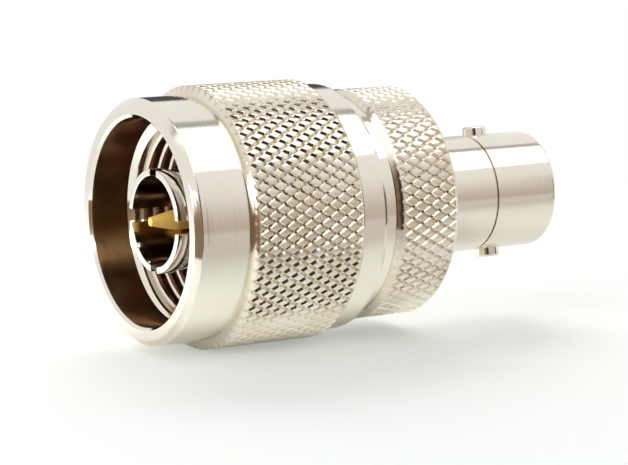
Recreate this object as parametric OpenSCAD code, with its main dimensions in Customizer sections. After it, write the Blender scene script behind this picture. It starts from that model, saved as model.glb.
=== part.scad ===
// Coaxial adapter: a threaded N plug at one end and a BNC jack at the other.
// The axis runs along +X. The origin is the centre of the coupling nut's front rim,
// the plug opens towards -X and the jack opens towards +X.

/* [Coupling nut] */
// Length of the nut along the axis
nut_length = 16.8; // [15.5:0.1:22]
// Diameter of the plain collar at the front of the nut
nut_front_d = 19.34; // [18.2:0.02:19.8]
// Length of the plain front collar
nut_front_length = 4.58; // [3:0.02:6]
// Diameter over the crests of the nut's knurl
nut_knurl_d = 20.82; // [20.5:0.02:24]
// Length of the knurled band, chamfers included
nut_knurl_length = 10; // [6:0.1:11]
// Diameter of the plain collar behind the knurl
nut_rear_d = 19.84; // [18.2:0.02:20]
// Chamfer round the outer edge of the front rim
rim_chamfer = 0.45; // [0.1:0.05:0.7]
// Chamfer round the back edge of the rear collar
nut_rear_chamfer = 0.3; // [0.1:0.02:0.5]
// Bore of the mouth in front of the thread
mouth_d = 16.4; // [16.1:0.05:17]
// Chamfer round the inner edge of the front rim
mouth_chamfer = 0.3; // [0.1:0.05:0.5]
// Depth of the mouth, from the rim to the start of the thread's lead
mouth_depth = 3.4; // [2:0.1:4]
// Length of the cone that leads into the thread
thread_lead = 0.6; // [0.3:0.05:1]
// Minor diameter of the coupling thread
thread_minor_d = 14.8; // [14.4:0.05:15.2]
// Diameter of the relief behind the thread
relief_d = 16.1; // [15.9:0.05:17]
// Length of the relief behind the thread
relief_length = 1.7; // [1:0.1:2.5]

/* [Knurl] */
// Distance between neighbouring grooves, square to them
knurl_pitch = 0.8; // [0.7:0.05:1.2]
// Angle between the grooves and the axis
knurl_angle = 30; // [25:1:40]
// Depth from the crests to the groove crossings
knurl_depth = 0.3; // [0.15:0.01:0.35]
// Flat shoulder between a plain collar and the foot of a knurl's chamfer
knurl_shoulder = 0.07; // [0.03:0.01:0.12]
// Length of the chamfer at the front of the nut's knurl
nut_knurl_front_run = 0.3; // [0.2:0.05:0.8]
// Length of the chamfer at the back of the nut's knurl
nut_knurl_rear_run = 0.43; // [0.2:0.01:0.8]

/* [Nut bearing] */
// Diameter of the journal that the nut turns on
journal_d = 13.88; // [13:0.02:14.2]
// Radial running clearance between the nut and its journal
nut_clearance = 0.06; // [0.02:0.01:0.15]
// Gap between the back of the nut and the rear body
nut_end_gap = 0.25; // [0.1:0.05:0.5]
// Distance from the front of the journal to the retaining ring
ring_setback = 2.4; // [1.5:0.1:3]
// Thickness of the retaining ring along the axis
ring_thickness = 1; // [0.6:0.05:1.3]
// Inner diameter of the retaining ring
ring_inner_d = 12.6; // [12:0.05:12.9]
// Outer diameter of the retaining ring
ring_outer_d = 15; // [14.6:0.05:15.4]
// Opening of the split in the retaining ring, in degrees
ring_split = 24; // [10:1:60]
// Clearance at each side of the ring in the body's groove
ring_side_clearance = 0.05; // [0.02:0.01:0.1]
// Clearance between the ring and the floor of the body's groove
ring_floor_clearance = 0.05; // [0.02:0.01:0.1]
// Clearance round the ring in the nut's groove, which is the nut's float
nut_float = 0.1; // [0.05:0.01:0.2]

/* [N plug contacts] */
// Inner diameter of the outer conductor
line_d = 7; // [6.6:0.05:7.2]
// Diameter of the contact fingers behind the bead at their tips
finger_d = 7.88; // [7.7:0.02:8.2]
// Bead that stands proud round the tips of the fingers
finger_lip = 0.17; // [0.16:0.01:0.22]
// Length of the bead at the tips of the fingers
finger_lip_length = 1.1; // [0.6:0.1:2]
// Distance from the nut's rim to the tips of the fingers
finger_setback = 1.4; // [0.8:0.1:2]
// Distance from the tips of the fingers to the front of the body
finger_reach = 9.9; // [9:0.1:10.5]
// Number of slots between the fingers
finger_slots = 4; // [2:2:6]
// Width of a slot
slot_width = 1; // [0.4:0.05:1.4]
// Length of a slot
slot_length = 6; // [4:0.1:7.5]
// Diameter of the root of the outer contact, pressed into the front body
contact_root_d = 9.8; // [9.2:0.05:10.6]
// Length of the root of the outer contact
contact_root_length = 3.7; // [2.5:0.1:4.5]
// Thickness of the sealing gasket
gasket_thickness = 1.6; // [1:0.1:2]
// Outer diameter of the gasket
gasket_d = 13.6; // [12:0.1:13.8]
// Clearance between the gasket and the outer contact
gasket_clearance = 0.1; // [0.05:0.01:0.2]

/* [Centre conductor] */
// Distance that the pin's tip stands in front of the fingers
pin_proud = 0.28; // [0:0.02:0.6]
// Diameter of the flat at the pin's tip
pin_tip_d = 0.7; // [0.4:0.05:1]
// Length of the cone behind the tip
pin_cone_length = 2.2; // [1.2:0.1:3]
// Diameter of the mating part of the pin
pin_d = 1.62; // [1.5:0.02:1.7]
// Distance from the finger tips to the shoulder of the pin
pin_shoulder_setback = 5.26; // [4.6:0.02:6]
// Diameter of the pin behind its shoulder
pin_base_d = 3.04; // [2.8:0.02:3.3]
// Diameter of the pin's stem inside the bead insulator
pin_stem_d = 2.33; // [1.8:0.01:2.6]
// Diameter of the tail that joins the pin to the socket
pin_tail_d = 1; // [0.7:0.05:1.3]
// Length of that tail
pin_tail_length = 1.9; // [1.2:0.1:2.6]
// Diameter of the socket contact
socket_d = 2.1; // [1.9:0.02:2.4]
// Bore of the socket contact
socket_bore_d = 1.38; // [1.2:0.02:1.5]
// Depth of the bore in the socket contact
socket_bore_depth = 5; // [4:0.1:6]
// Width of the slots in the socket contact
socket_slot_width = 0.3; // [0.15:0.05:0.4]
// Length of the slots in the socket contact
socket_slot_length = 4; // [2.5:0.1:4.8]
// Diameter of the collar that holds the socket between the insulators
socket_collar_d = 3.2; // [2.8:0.05:4]
// Length of that collar
socket_collar_length = 0.8; // [0.5:0.05:1.4]

/* [Insulators] */
// Diameter of the bead insulator
bead_d = 7.8; // [7.5:0.05:8.6]
// Length of the bead insulator
bead_length = 4.35; // [3.4:0.05:5]
// Diameter of the nose of the jack's insulator
nose_d = 4.84; // [4.5:0.02:5.2]
// Distance from the jack's rim to the front of the nose
nose_setback = 2.9; // [2:0.1:4]
// Distance from the front of the nose to the socket contact
socket_setback = 0.5; // [0.2:0.05:1]
// Radial clearance between an insulator and what passes through it
insulator_clearance = 0.04; // [0.01:0.01:0.08]

/* [Rear body] */
// Diameter of the plain flange behind the nut
flange_d = 17.88; // [16.4:0.02:18.1]
// Length of the plain flange
flange_length = 1.15; // [0.8:0.05:2.5]
// Diameter over the crests of the rear knurl
rear_knurl_d = 18.74; // [18.6:0.02:21]
// Length of the rear knurled band, chamfers included
rear_knurl_length = 5.8; // [4:0.1:9]
// Length of the chamfer at each end of the rear knurl
rear_knurl_run = 0.42; // [0.2:0.02:0.8]
// Diameter of the spigot that joins the two bodies
spigot_d = 11.2; // [10.2:0.1:12.4]
// Length of the spigot
spigot_length = 4.2; // [4:0.1:5.5]
// Gap at the end of the spigot
spigot_gap = 0.1; // [0.05:0.01:0.2]

/* [BNC jack] */
// Outer diameter of the barrel
barrel_d = 9.66; // [9.5:0.02:9.8]
// Length of the barrel behind the rear knurl
barrel_length = 12.87; // [12:0.1:16]
// Bore of the barrel
barrel_bore_d = 8.12; // [7.9:0.02:8.3]
// Depth of the barrel's bore
barrel_bore_depth = 8.4; // [7:0.1:9]
// Thickness of the web behind the barrel's bore
web_thickness = 1.17; // [0.8:0.05:2]
// Chamfer round the outer edge of the barrel's rim
barrel_chamfer = 0.26; // [0.1:0.02:0.35]
// Chamfer round the inner edge of the barrel's rim
barrel_mouth_chamfer = 0.25; // [0.1:0.05:0.35]
// Diameter of a bayonet lug
lug_d = 1.96; // [1.8:0.02:2.1]
// Distance across the tops of the two lugs
lug_span = 11; // [10.8:0.02:11.4]
// Distance from the barrel's rim to the lugs' centre
lug_setback = 4.25; // [3.5:0.05:5.5]
// Turn of the lugs about the axis, away from the upright
lug_turn = 12; // [0:1:45]
// Chamfer round the top of a lug
lug_chamfer = 0.12; // [0.05:0.01:0.3]
// Distance from the barrel's bore to the inner end of a lug
lug_recess = 0.15; // [0.1:0.01:0.3]
// Distance from the barrel's rim to the turned line beside the lugs
line_setback = 5.94; // [5.7:0.01:8]
// Width of the turned line
line_width = 0.2; // [0.1:0.02:0.4]
// Depth of the turned line
line_depth = 0.1; // [0.04:0.01:0.2]

/* [Finish] */
// Small chamfer that breaks a turned edge
edge_break = 0.12; // [0.05:0.01:0.2]

/* [Hidden] */
$fn = 96;
// Overlap of a cutting shape past the face that it opens
through = 1;
// Depth to which two lengths of the same bar run into each other
overlap = 0.1;

// Stations along the axis
x_finger = finger_setback;
x_pin_tip = x_finger - pin_proud;
x_pin_shoulder = x_finger + pin_shoulder_setback;
x_body = x_finger + finger_reach;
x_thread_end = x_body - relief_length;
x_root_end = x_body + contact_root_length;
x_ring = x_body + ring_setback;
x_joint = nut_length + nut_end_gap;
x_step = x_joint + spigot_length + spigot_gap;
x_bead = x_step - bead_length;
x_flange_end = x_joint + flange_length;
x_barrel = x_flange_end + rear_knurl_length;
x_end = x_barrel + barrel_length;
x_cavity = x_end - barrel_bore_depth;
x_web = x_cavity - web_thickness;
x_nose = x_end - nose_setback;
x_socket = x_nose - socket_setback;
x_collar_end = x_step + socket_collar_length;
x_lug = x_end - lug_setback;
x_line = x_end - line_setback;
x_nut_knurl = nut_front_length;
x_nut_knurl_end = nut_front_length + nut_knurl_length;

// Radii that two pieces share
bearing_r = journal_d / 2 + nut_clearance;
body_groove_r = ring_inner_d / 2 - ring_floor_clearance;
nut_groove_r = ring_outer_d / 2 + nut_float;
stem_hole_r = pin_stem_d / 2 + insulator_clearance;
socket_hole_r = socket_d / 2 + insulator_clearance;
collar_hole_r = socket_collar_d / 2 + insulator_clearance;
web_hole_r = nose_d / 2 + insulator_clearance;

// Colours of the finishes
nickel = "#c9c3b6";
bright_nickel = "#dedbd3";
spring_bronze = "#a98a5c";
gold = "#d9a941";
white_plastic = "#f1efe9";
seal_rubber = "#9c4a2f";

// Turns a profile of [radius, station] points about the X axis
module turned(profile) {
    rotate([0, 90, 0])
        rotate_extrude()
            polygon(profile);
}

// Shapes drawn along +Z are laid along +X from a station
module along_axis(station) {
    translate([station, 0, 0])
        rotate([0, 90, 0])
            children();
}

// Knurl grid: columns lie half a tooth apart and rows half a diamond apart.
// Groove crossings and crests alternate like the squares of a chessboard.
function knurl_teeth(crest_d) = floor(PI * crest_d * cos(knurl_angle) / knurl_pitch);
function knurl_rows(length) = max(2, round(2 * length * sin(knurl_angle) / knurl_pitch));
function is_crossing(column, row) = (column + row) % 2 == 0;
function ring_point(station, radius, column, columns) = [
    station,
    radius * cos(360 * column / columns),
    radius * sin(360 * column / columns)
];

// A solid band with a diamond knurl, from one chamfer foot to the other
module knurled_band(start, length, crest_d, front_foot_d, rear_foot_d, front_run, rear_run) {
    columns = 2 * knurl_teeth(crest_d);
    crest_r = crest_d / 2;
    root_r = crest_r - knurl_depth;
    // A foot stays below the groove crossings, so the chamfer opens every groove
    front_foot_r = min(front_foot_d / 2 + knurl_shoulder, root_r - knurl_shoulder);
    rear_foot_r = min(rear_foot_d / 2 + knurl_shoulder, root_r - knurl_shoulder);
    first = start + front_run;
    last = start + length - rear_run;
    rows = knurl_rows(last - first);
    // The end rows lie on the chamfers, where a crossing sits nearer the foot than a crest
    front_slope = front_run / (crest_r - front_foot_r);
    rear_slope = rear_run / (crest_r - rear_foot_r);
    radius = function(column, row) is_crossing(column, row) ? root_r : crest_r;
    station = function(column, row)
        row == 0 ? first - (crest_r - radius(column, row)) * front_slope
        : row == rows ? last + (crest_r - radius(column, row)) * rear_slope
        : first + (last - first) * row / rows;
    points = [
        for (column = [0 : columns - 1]) ring_point(start, front_foot_r, column, columns),
        for (row = [0 : rows])
            for (column = [0 : columns - 1])
                ring_point(station(column, row), radius(column, row), column, columns),
        for (column = [0 : columns - 1]) ring_point(start + length, rear_foot_r, column, columns)
    ];
    // Ring 0 is the front foot, rings 1 to rows + 1 are the knurl, and the last is the rear foot
    corner = function(column, ring) ring * columns + column % columns;
    faces = [
        [for (column = [0 : columns - 1]) corner(column, 0)],
        for (ring = [0 : rows + 1])
            for (column = [0 : columns - 1])
                let (
                    a = corner(column, ring),
                    b = corner(column + 1, ring),
                    c = corner(column + 1, ring + 1),
                    d = corner(column, ring + 1)
                )
                // The crease between two crossings is the floor of a groove
                each is_crossing(column, ring - 1) ? [[a, c, b], [a, d, c]] : [[a, d, b], [b, d, c]],
        [for (column = [columns - 1 : -1 : 0]) corner(column, rows + 2)]
    ];
    polyhedron(points = points, faces = faces);
}

// Two collars and the knurled band between them, bored for thread, bearing and ring
module coupling_nut() {
    front_r = nut_front_d / 2;
    rear_r = nut_rear_d / 2;
    mouth_r = mouth_d / 2;
    minor_r = thread_minor_d / 2;
    relief_r = relief_d / 2;
    groove_start = x_ring - nut_float;
    groove_end = x_ring + ring_thickness + nut_float;
    color(nickel)
        difference() {
            union() {
                turned([
                    [0, 0],
                    [front_r - rim_chamfer, 0],
                    [front_r, rim_chamfer],
                    [front_r, x_nut_knurl + overlap],
                    [0, x_nut_knurl + overlap]
                ]);
                knurled_band(x_nut_knurl, nut_knurl_length, nut_knurl_d, nut_front_d, nut_rear_d,
                    nut_knurl_front_run, nut_knurl_rear_run);
                turned([
                    [0, x_nut_knurl_end - overlap],
                    [rear_r, x_nut_knurl_end - overlap],
                    [rear_r, nut_length - nut_rear_chamfer],
                    [rear_r - nut_rear_chamfer, nut_length],
                    [0, nut_length]
                ]);
            }
            turned([
                [0, -through],
                [mouth_r + mouth_chamfer + through, -through],
                [mouth_r, mouth_chamfer],
                [mouth_r, mouth_depth],
                [minor_r, mouth_depth + thread_lead],
                [minor_r, x_thread_end],
                [relief_r, x_thread_end + (relief_r - minor_r) / 2],
                [relief_r, x_body - edge_break],
                [bearing_r + edge_break, x_body - edge_break],
                [bearing_r, x_body],
                [bearing_r, groove_start],
                [nut_groove_r, groove_start],
                [nut_groove_r, groove_end],
                [bearing_r, groove_end],
                [bearing_r, nut_length - edge_break],
                [bearing_r + edge_break + through, nut_length + through],
                [0, nut_length + through]
            ]);
        }
}

// Split spring ring that keeps the nut on its journal
module nut_retaining_ring() {
    inner_r = ring_inner_d / 2;
    outer_r = ring_outer_d / 2;
    color(spring_bronze)
        along_axis(x_ring)
            rotate([0, 0, ring_split / 2])
                rotate_extrude(angle = 360 - ring_split)
                    translate([inner_r, 0])
                        square([outer_r - inner_r, ring_thickness]);
}

// Flat ring that the mating connector presses on
module front_gasket() {
    color(seal_rubber)
        along_axis(x_body - gasket_thickness)
            difference() {
                cylinder(d = gasket_d, h = gasket_thickness);
                translate([0, 0, -through])
                    cylinder(d = finger_d + 2 * gasket_clearance, h = gasket_thickness + 2 * through);
            }
}

// Ferrule with spring fingers at the front and a pressed root at the back
module n_outer_contact() {
    bore_r = line_d / 2;
    finger_r = finger_d / 2;
    lip_r = finger_r + finger_lip;
    root_r = contact_root_d / 2;
    color(bright_nickel)
        difference() {
            turned([
                [bore_r + edge_break, x_finger],
                [lip_r - edge_break, x_finger],
                [lip_r, x_finger + edge_break],
                [lip_r, x_finger + finger_lip_length],
                [finger_r, x_finger + finger_lip_length + 2 * finger_lip],
                [finger_r, x_body],
                [root_r, x_body],
                [root_r, x_root_end - edge_break],
                [root_r - edge_break, x_root_end],
                [bore_r, x_root_end],
                [bore_r, x_finger + edge_break]
            ]);
            for (slot = [0 : finger_slots - 1])
                along_axis(x_finger)
                    rotate([0, 0, slot * 360 / finger_slots])
                        translate([0, -slot_width / 2, -through])
                            cube([lip_r + through, slot_width, slot_length + through]);
        }
}

// Journal for the nut at the front, spigot for the rear body behind it
module front_body() {
    journal_r = journal_d / 2;
    spigot_r = spigot_d / 2;
    spigot_end = x_joint + spigot_length;
    groove_start = x_ring - ring_side_clearance;
    groove_end = x_ring + ring_thickness + ring_side_clearance;
    color(nickel)
        turned([
            [contact_root_d / 2, x_body],
            [journal_r - edge_break, x_body],
            [journal_r, x_body + edge_break],
            [journal_r, groove_start],
            [body_groove_r, groove_start],
            [body_groove_r, groove_end],
            [journal_r, groove_end],
            [journal_r, x_joint],
            [spigot_r, x_joint],
            [spigot_r, spigot_end - edge_break],
            [spigot_r - edge_break, spigot_end],
            [bead_d / 2, spigot_end],
            [bead_d / 2, x_bead],
            [line_d / 2, x_bead],
            [line_d / 2, x_root_end],
            [contact_root_d / 2, x_root_end]
        ]);
}

// Flange, knurled grip and the jack's barrel, turned from one bar
module rear_body() {
    flange_r = flange_d / 2;
    barrel_r = barrel_d / 2;
    bore_r = barrel_bore_d / 2;
    color(nickel)
        difference() {
            union() {
                turned([
                    [0, x_joint],
                    [flange_r - edge_break, x_joint],
                    [flange_r, x_joint + edge_break],
                    [flange_r, x_flange_end + overlap],
                    [0, x_flange_end + overlap]
                ]);
                knurled_band(x_flange_end, rear_knurl_length, rear_knurl_d, flange_d, flange_d,
                    rear_knurl_run, rear_knurl_run);
                turned([
                    [0, x_barrel - overlap],
                    [barrel_r, x_barrel - overlap],
                    [barrel_r, x_line - line_width / 2],
                    [barrel_r - line_depth, x_line],
                    [barrel_r, x_line + line_width / 2],
                    [barrel_r, x_end - barrel_chamfer],
                    [barrel_r - barrel_chamfer, x_end],
                    [0, x_end]
                ]);
            }
            turned([
                [0, x_joint - through],
                [spigot_d / 2, x_joint - through],
                [spigot_d / 2, x_step],
                [line_d / 2, x_step],
                [line_d / 2, x_web],
                [web_hole_r, x_web],
                [web_hole_r, x_cavity],
                [bore_r, x_cavity],
                [bore_r, x_end - barrel_mouth_chamfer],
                [bore_r + barrel_mouth_chamfer + through, x_end + through],
                [0, x_end + through]
            ]);
            for (side = [0, 180])
                lug_place(side)
                    cylinder(d = lug_d, h = lug_span);
        }
}

// Radial axis of a lug: side 0 is the upper one, side 180 the lower one
module lug_place(side) {
    translate([x_lug, 0, 0])
        rotate([side - lug_turn, 0, 0])
            children();
}

// Pin pressed into the barrel's wall, flat inside and chamfered on top
module bayonet_lug(side) {
    lug_r = lug_d / 2;
    top = lug_span / 2;
    color(nickel)
        lug_place(side)
            rotate_extrude()
                polygon([
                    [0, barrel_bore_d / 2 + lug_recess],
                    [lug_r, barrel_bore_d / 2 + lug_recess],
                    [lug_r, top - lug_chamfer],
                    [lug_r - lug_chamfer, top],
                    [0, top]
                ]);
}

module bayonet_lug_upper() {
    bayonet_lug(0);
}

module bayonet_lug_lower() {
    bayonet_lug(180);
}

// Bead clamped between the two bodies, which carries the pin
module n_insulator() {
    color(white_plastic)
        turned([
            [stem_hole_r, x_bead],
            [bead_d / 2, x_bead],
            [bead_d / 2, x_step],
            [stem_hole_r, x_step]
        ]);
}

// Shouldered sleeve whose nose stands inside the jack's barrel
module bnc_insulator() {
    nose_r = nose_d / 2;
    color(white_plastic)
        turned([
            [collar_hole_r, x_step],
            [line_d / 2, x_step],
            [line_d / 2, x_web],
            [nose_r, x_web],
            [nose_r, x_nose - edge_break],
            [nose_r - edge_break, x_nose],
            [socket_hole_r + socket_setback / 2, x_nose],
            [socket_hole_r, x_socket],
            [socket_hole_r, x_collar_end],
            [collar_hole_r, x_collar_end]
        ]);
}

// Pin with a tapered tip, a wide base in the air line and a tail for the socket
module centre_pin() {
    color(gold)
        turned([
            [0, x_pin_tip],
            [pin_tip_d / 2, x_pin_tip],
            [pin_d / 2, x_pin_tip + pin_cone_length],
            [pin_d / 2, x_pin_shoulder],
            [pin_base_d / 2 - edge_break, x_pin_shoulder],
            [pin_base_d / 2, x_pin_shoulder + edge_break],
            [pin_base_d / 2, x_bead],
            [pin_stem_d / 2, x_bead],
            [pin_stem_d / 2, x_step],
            [pin_tail_d / 2, x_step],
            [pin_tail_d / 2, x_step + pin_tail_length],
            [0, x_step + pin_tail_length]
        ]);
}

// Slotted socket on the pin's tail, held by its collar between the insulators
module centre_socket() {
    socket_r = socket_d / 2;
    bore_r = socket_bore_d / 2;
    tail_end = x_step + pin_tail_length;
    color(gold)
        difference() {
            turned([
                [pin_tail_d / 2, x_step],
                [socket_collar_d / 2, x_step],
                [socket_collar_d / 2, x_collar_end],
                [socket_r, x_collar_end],
                [socket_r, x_socket - edge_break],
                [socket_r - edge_break, x_socket],
                [bore_r + edge_break, x_socket],
                [bore_r, x_socket - edge_break],
                [bore_r, x_socket - socket_bore_depth],
                [0, x_socket - socket_bore_depth - bore_r / 2],
                [0, tail_end],
                [pin_tail_d / 2, tail_end]
            ]);
            for (turn = [0, 90])
                along_axis(x_socket - socket_slot_length)
                    rotate([0, 0, turn])
                        translate([-socket_r - through, -socket_slot_width / 2, 0])
                            cube([
                                2 * (socket_r + through),
                                socket_slot_width,
                                socket_slot_length + through
                            ]);
        }
}

coupling_nut();
nut_retaining_ring();
front_gasket();
n_outer_contact();
front_body();
rear_body();
bayonet_lug_upper();
bayonet_lug_lower();
n_insulator();
bnc_insulator();
centre_pin();
centre_socket();
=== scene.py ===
"""Looks of a coaxial adapter, an N plug to a BNC jack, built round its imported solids.

The axis runs along +X, with the origin at the centre of the coupling nut's front rim.
All lengths are in metres.
"""

import functools
import math
import random

import bmesh
import bpy
from bpy.props import FloatProperty, FloatVectorProperty, IntProperty, PointerProperty
from mathutils import Euler, Matrix, Vector


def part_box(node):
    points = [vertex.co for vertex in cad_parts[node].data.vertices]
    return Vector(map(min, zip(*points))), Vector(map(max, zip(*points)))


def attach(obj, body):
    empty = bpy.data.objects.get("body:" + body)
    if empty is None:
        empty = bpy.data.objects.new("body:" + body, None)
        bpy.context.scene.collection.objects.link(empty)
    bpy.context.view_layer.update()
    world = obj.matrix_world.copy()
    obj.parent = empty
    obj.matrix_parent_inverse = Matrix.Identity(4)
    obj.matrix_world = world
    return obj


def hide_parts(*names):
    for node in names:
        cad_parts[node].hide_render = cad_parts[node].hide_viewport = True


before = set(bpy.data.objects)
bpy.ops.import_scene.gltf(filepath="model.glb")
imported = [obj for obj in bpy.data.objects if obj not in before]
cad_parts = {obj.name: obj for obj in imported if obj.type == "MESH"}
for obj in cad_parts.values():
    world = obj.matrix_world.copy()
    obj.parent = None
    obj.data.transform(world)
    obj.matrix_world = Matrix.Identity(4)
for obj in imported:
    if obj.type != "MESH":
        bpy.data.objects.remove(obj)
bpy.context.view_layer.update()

bl_info = {
    "name": "Coaxial Adapter",
    "version": (1, 0, 0),
    "blender": (4, 5, 0),
    "location": "View3D > Sidebar > Adapter",
    "description": "Builds the looks of an N plug to BNC jack adapter round its solids",
    "category": "Object",
}

MM = 0.001


def mm(*sizes):
    """Sizes in millimetres."""
    return [size * MM for size in sizes]


NUT_LOW, NUT_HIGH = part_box("coupling_nut")
JACK_LOW, JACK_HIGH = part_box("rear_body")
BODY_LOW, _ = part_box("front_body")
CONTACT_LOW, CONTACT_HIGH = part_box("n_outer_contact")
BEAD_LOW, BEAD_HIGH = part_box("n_insulator")
SLEEVE_LOW, SLEEVE_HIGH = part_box("bnc_insulator")
PIN_LOW, PIN_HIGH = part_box("centre_pin")
SOCKET_LOW, SOCKET_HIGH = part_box("centre_socket")
GASKET_LOW, GASKET_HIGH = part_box("front_gasket")
LUG_LOW, LUG_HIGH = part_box("bayonet_lug_upper")
RING_LOW, RING_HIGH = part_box("nut_retaining_ring")


# ---- settings


def length(name, description, size):
    """A length that a user may change, given in millimetres."""
    return FloatProperty(
        name=name, description=description, default=size * MM, min=0.0, unit="LENGTH", precision=5
    )


def count(name, description, default, low, high):
    """A whole number."""
    return IntProperty(name=name, description=description, default=default, min=low, max=high)


def share(name, description, default):
    """A share from 0 to 1."""
    return FloatProperty(
        name=name, description=description, default=default, min=0.0, max=1.0, subtype="FACTOR"
    )


def watts(name, description, default):
    """Power of a lamp."""
    return FloatProperty(name=name, description=description, default=default, min=0.0, unit="POWER")


def angle(name, description, degrees):
    """An angle, given in degrees."""
    return FloatProperty(
        name=name, description=description, default=math.radians(degrees), subtype="ANGLE"
    )


def colour(name, description, default):
    """A colour of a finish or of the stage."""
    return FloatVectorProperty(
        name=name, description=description, default=default, min=0, max=1, size=3, subtype="COLOR"
    )


class AdapterNutSettings(bpy.types.PropertyGroup):
    """Sizes of the coupling nut."""

    front_radius: length("Front collar", "Radius of the front collar", 9.67)
    rear_radius: length("Rear collar", "Radius of the rear collar", 9.92)
    crest_radius: length("Knurl", "Radius over the knurl's crests", NUT_HIGH.z / MM)
    knurl_start: length("Knurl start", "Station where the knurl begins", 4.58)
    knurl_end: length("Knurl end", "Station where the knurl ends", 14.58)
    front_run: length("Front chamfer", "Length of the knurl's front chamfer", 0.3)
    rear_run: length("Rear chamfer", "Length of the knurl's rear chamfer", 0.43)
    rim_chamfer: length("Rim chamfer", "Chamfer of the rim's outer edge", 0.45)
    rear_bevel: length("Rear edge", "Length of the rear edge's slight bevel", 0.34)
    mouth_radius: length("Mouth", "Radius of the bore in front of the thread", 8.2)
    mouth_depth: length("Mouth depth", "Distance from the rim to the thread's lead", 3.4)
    thread_minor: length("Thread crests", "Radius of the thread's inner edge", 7.4)
    thread_major: length("Thread roots", "Radius of the thread's outer edge", 7.94)
    thread_pitch: length("Thread pitch", "Advance of the thread in one turn", 25.4 / 24)
    teeth: count("Knurl teeth", "Diamonds round the nut", 70, 12, 200)
    rows: count("Knurl rows", "Half diamonds along the nut", 12, 2, 60)


class AdapterJackSettings(bpy.types.PropertyGroup):
    """Sizes of the jack's body."""

    flange_radius: length("Flange", "Radius of the flange behind the nut", 8.94)
    crest_radius: length("Knurl", "Radius over the knurl's crests", JACK_HIGH.z / MM)
    knurl_start: length("Knurl start", "Station where the knurl begins", 18.2)
    knurl_end: length("Knurl end", "Station where the knurl ends", 24.0)
    knurl_run: length("Knurl chamfer", "Length of the knurl's two chamfers", 0.42)
    barrel_radius: length("Barrel", "Outer radius of the barrel", 4.83)
    bore_radius: length("Bore", "Inner radius of the barrel", 4.06)
    bore_depth: length("Bore depth", "Depth of the barrel's bore", 8.4)
    line_setback: length("Turned line", "Distance from the rim to the turned line", 5.94)
    teeth: count("Knurl teeth", "Diamonds round the body", 63, 12, 200)
    rows: count("Knurl rows", "Half diamonds along the body", 6, 2, 60)


class AdapterFinishSettings(bpy.types.PropertyGroup):
    """Colours and textures of the finishes."""

    nickel: colour("Nickel", "Plating of the nut and the bodies", (0.80, 0.755, 0.66))
    tarnish: colour("Tarnish", "Nickel in the grooves of the knurls", (0.54, 0.47, 0.36))
    # Grip darkens and warms the knurls' nickel in cloudy patches.
    grip: colour("Grip", "Nickel of the knurled grips, worn by hands", (0.72, 0.65, 0.53))
    # Bore is painted shade: the dark brown of the plug's mouth, its thread, the relief behind it
    # and the outer contact's inside.
    bore: colour("Bore", "Dull nickel inside the plug's mouth", (0.31, 0.19, 0.105))
    bright: colour("Bright plating", "Plating of the sprung outer contact", (0.86, 0.83, 0.77))
    gold: colour("Gold", "Plating of the centre contacts", (1.0, 0.76, 0.25))
    bronze: colour("Spring bronze", "Retaining ring", (0.56, 0.38, 0.19))
    plastic: colour("White plastic", "Insulators", (0.86, 0.85, 0.81))
    rubber: colour("Seal rubber", "Gasket behind the thread", (0.27, 0.075, 0.035))
    polish: share("Polish", "Roughness of the smooth collars", 0.14)
    knurl_depth: length("Knurl depth", "Depth of the grooves below the crests", 0.2)
    crest_share: share("Crest flat", "Share of a tooth that is flat on top", 0.58)


class AdapterStageSettings(bpy.types.PropertyGroup):
    """Floor, light and camera."""

    floor: colour("Floor", "Colour of the floor", (0.93, 0.93, 0.93))
    paper: share("Paper", "Share of the floor's colour that is lit and shaded", 0.80)
    glow: colour("Floor glow", "Light that comes through the floor", (0.305, 0.333, 0.313))
    mirrored_glow: colour("Mirrored glow", "The floor's glow in the metal", (0.53, 0.573, 0.535))
    room_left: colour("Room, left", "Room that the rim and the mouth reflect", (0.30, 0.20, 0.13))
    room_front: colour("Room, front", "Dark room that the knurls reflect", (0.05, 0.042, 0.038))
    room_right: colour("Room, right", "Room that the collars reflect", (0.60, 0.51, 0.47))
    room_back: colour("Room, back", "Dark strip behind the floor", (0.10, 0.085, 0.09))
    panel: FloatProperty(
        name="Panel", description="Strength of the light panel", default=1.85, min=0.0, max=4.0
    )
    softbox: watts("Softbox", "Power of the large lamp behind", 0.82)
    side_light: watts("Side light", "Power of the large lamp on the left", 0.22)
    fill: watts("Fill", "Power of the small lamp on the left", 0.35)
    ambient: share("Ambient", "Strength of the light from all round", 0.36)
    camera_place: FloatVectorProperty(
        name="Camera",
        description="Where the camera stands",
        default=(-88.411 * MM, -169.636 * MM, 29.869 * MM),
        size=3,
        subtype="TRANSLATION",
    )
    camera_yaw: angle("Yaw", "Turn of the view away from +Y", 31.634)
    camera_pitch: angle("Pitch", "Tilt of the view", -9.115)
    focal_pixels: FloatProperty(
        name="Focal length", description="In pixels of the photo", default=2492.99, subtype="PIXEL"
    )


class AdapterSettings(bpy.types.PropertyGroup):
    """All the adapter's settings."""

    nut: PointerProperty(type=AdapterNutSettings, name="Nut", description="Coupling nut")
    jack: PointerProperty(type=AdapterJackSettings, name="Jack", description="Jack's body")
    finish: PointerProperty(type=AdapterFinishSettings, name="Finish", description="Finishes")
    stage: PointerProperty(
        type=AdapterStageSettings, name="Stage", description="Floor, light and camera"
    )


# ---- shader maths


def maths(operation, reflected=False):
    """A method of Value that makes a maths node."""

    def method(self, other):
        first, second = (other, self) if reflected else (self, other)
        return self.sheet.add("ShaderNodeMath", {"operation": operation}, {0: first, 1: second})

    return method


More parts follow.
